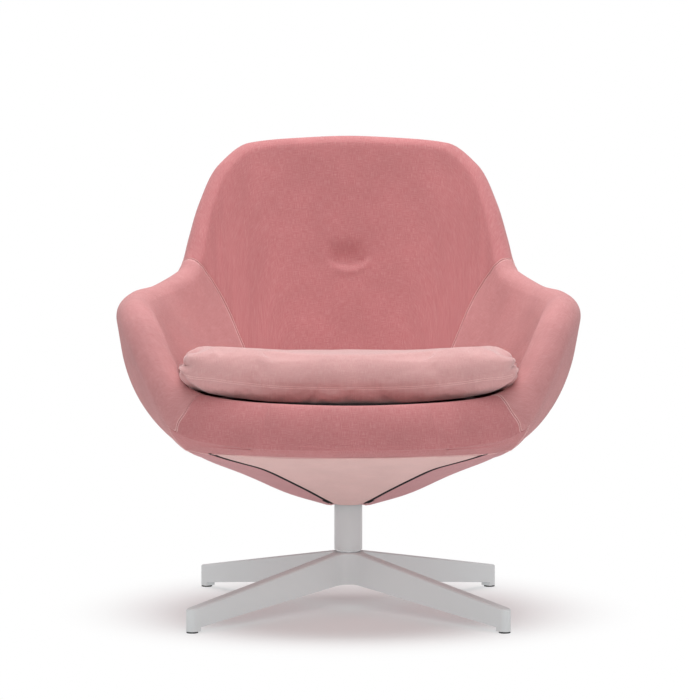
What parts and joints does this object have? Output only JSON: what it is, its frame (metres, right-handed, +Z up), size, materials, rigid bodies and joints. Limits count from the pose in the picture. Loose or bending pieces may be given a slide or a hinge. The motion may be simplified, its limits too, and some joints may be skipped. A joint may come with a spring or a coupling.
{
  "type": "pedestal swivel armchair",
  "caption": "Upholstered bucket armchair with a loose seat cushion, swivelling on a slim column over a four-legged star base with glides.",
  "frame": {"origin": "on the floor at the swivel axis, under the middle of the chair", "axes": "+Z up along the swivel axis; the chair faces -Y; +X is the sitter's left"},
  "size_m": [0.7828, 0.7549, 0.8117],
  "materials": {
    "pink_weave": "dusty pink flat-woven wool with lighter flecks",
    "deck_lining": "dark plain lining cloth",
    "seat_foam": "open-cell upholstery foam",
    "twine": "waxed upholstery twine",
    "zip_black": "black coil zip on black tape",
    "base_coat": "light grey satin powder coat",
    "glide_plastic": "matt black hard plastic",
    "turned_steel": "turned bright steel",
    "zinc_steel": "zinc plated",
    "frame_steel": "black lacquered steel",
    "bearing_nylon": "natural nylon"
  },
  "bodies": {
    "base": {"star_base": "base_coat", "glide_front_left": "glide_plastic", "glide_front_right": "glide_plastic", "glide_rear_left": "glide_plastic", "glide_rear_right": "glide_plastic", "spindle": "turned_steel", "spindle_bolt": "zinc_steel", "bolt_washer": "zinc_steel", "lower_thrust_washer": "bearing_nylon", "upper_thrust_washer": "bearing_nylon", "retaining_clip": "zinc_steel"},
    "seat": {"column_tube": "base_coat", "lower_bush": "bearing_nylon", "upper_bush": "bearing_nylon", "mounting_plate": "frame_steel", "plate_screws": "zinc_steel", "pan_inserts": "zinc_steel", "seat_pan": "frame_steel", "arm_front_rib_left": "frame_steel", "arm_front_rib_right": "frame_steel", "arm_rear_rib_left": "frame_steel", "arm_rear_rib_right": "frame_steel", "wing_rib_left": "frame_steel", "wing_rib_right": "frame_steel", "back_side_rib_left": "frame_steel", "back_side_rib_right": "frame_steel", "back_centre_rib": "frame_steel", "rim_bar": "frame_steel", "seat_pad": "seat_foam", "deck_cover": "deck_lining", "apron_pad": "pink_weave", "arm_pad_left": "pink_weave", "arm_pad_right": "pink_weave", "back_pad": "pink_weave", "front_underside_cover": "pink_weave", "rear_underside_cover": "pink_weave", "zip_left": "zip_black", "zip_right": "zip_black", "zip_slider_left": "zip_black", "zip_slider_right": "zip_black", "tuft_button": "pink_weave", "tuft_twine": "twine"},
    "cushion": {"cushion_cover": "pink_weave", "cushion_core": "seat_foam"}
  },
  "joints": [
    {"name": "seat_swivel", "type": "hinge", "parent": "base", "child": "seat", "pos_m": [0, 0, 0.1], "axis": [0, 0, 1], "continuous": true},
    {"name": "cushion_lift", "type": "slide", "parent": "seat", "child": "cushion", "axis": [0, -0.5, 0.866], "range_m": [0, 0.4]}
  ]
}
